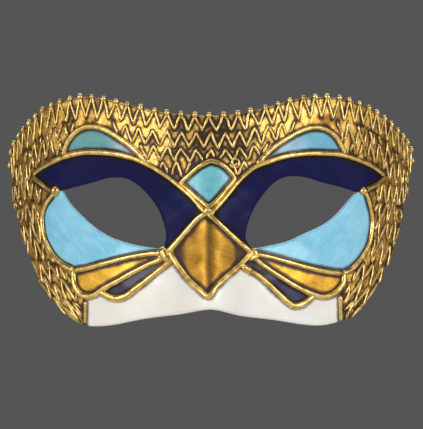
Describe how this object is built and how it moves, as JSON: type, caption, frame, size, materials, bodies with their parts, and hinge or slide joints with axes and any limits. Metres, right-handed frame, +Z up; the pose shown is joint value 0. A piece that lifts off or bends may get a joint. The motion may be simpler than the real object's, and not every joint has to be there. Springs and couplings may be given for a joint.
{
  "type": "venetian half mask",
  "caption": "Venetian half mask in papier-mache with gilded zigzag threads, raised gold lines, enamelled cells and ribbon eyelets.",
  "frame": {"origin": "point on the inner face, on the mask's middle plane, at which it rests on the bridge of the wearer's nose", "axes": "+X towards the viewer's right across the face, the face looks along -Y, +Z up"},
  "size_m": [0.1848, 0.0846, 0.1035],
  "materials": {
    "papier_mache": "matt, layered paper strips",
    "cotton_lining": "matt woven cotton",
    "gilded_ground": "gold leaf with brown patina, satin",
    "gilded_line": "burnished gold leaf over relief paste",
    "gilded_thread": "burnished gold leaf over relief paste",
    "ivory_enamel": "satin",
    "turquoise_enamel": "gloss",
    "cobalt_enamel": "high gloss",
    "sky_enamel": "gloss, brushed",
    "amber_gold_paint": "metallic satin",
    "indigo_enamel": "high gloss",
    "brass": "polished"
  },
  "bodies": {
    "root": {"shell": "papier_mache", "lining": "cotton_lining", "gilded_ground": "gilded_ground", "ivory_panel": "ivory_enamel", "lid_panel_left": "turquoise_enamel", "lid_panel_right": "turquoise_enamel", "brow_panel_left": "cobalt_enamel", "brow_panel_right": "cobalt_enamel", "cheek_panel_left": "sky_enamel", "cheek_panel_right": "sky_enamel", "gold_petal_left": "amber_gold_paint", "gold_petal_right": "amber_gold_paint", "dark_petal_left": "indigo_enamel", "dark_petal_right": "indigo_enamel", "forehead_panel": "turquoise_enamel", "nose_panel": "amber_gold_paint", "brow_line_left": "gilded_line", "brow_line_right": "gilded_line", "lid_line_left": "gilded_line", "lid_line_right": "gilded_line", "temple_line_left": "gilded_line", "temple_line_right": "gilded_line", "cheek_line_left": "gilded_line", "cheek_line_right": "gilded_line", "petal_top_line_left": "gilded_line", "petal_top_line_right": "gilded_line", "gold_petal_line_left": "gilded_line", "gold_petal_line_right": "gilded_line", "dark_petal_line_left": "gilded_line", "dark_petal_line_right": "gilded_line", "forehead_rim": "gilded_line", "nose_rim": "gilded_line", "ivory_line_left": "gilded_line", "ivory_line_right": "gilded_line", "corner_bead_left": "gilded_line", "corner_bead_right": "gilded_line", "junction_knob_left": "gilded_line", "junction_knob_right": "gilded_line", "petal_knob_right": "gilded_line", "forehead_scroll": "gilded_thread", "threads_forehead": "gilded_thread", "threads_left": "gilded_thread", "threads_right": "gilded_thread", "edge_drops": "gilded_thread", "ribbon_eyelet_left": "brass", "ribbon_eyelet_right": "brass"}
  },
  "joints": []
}
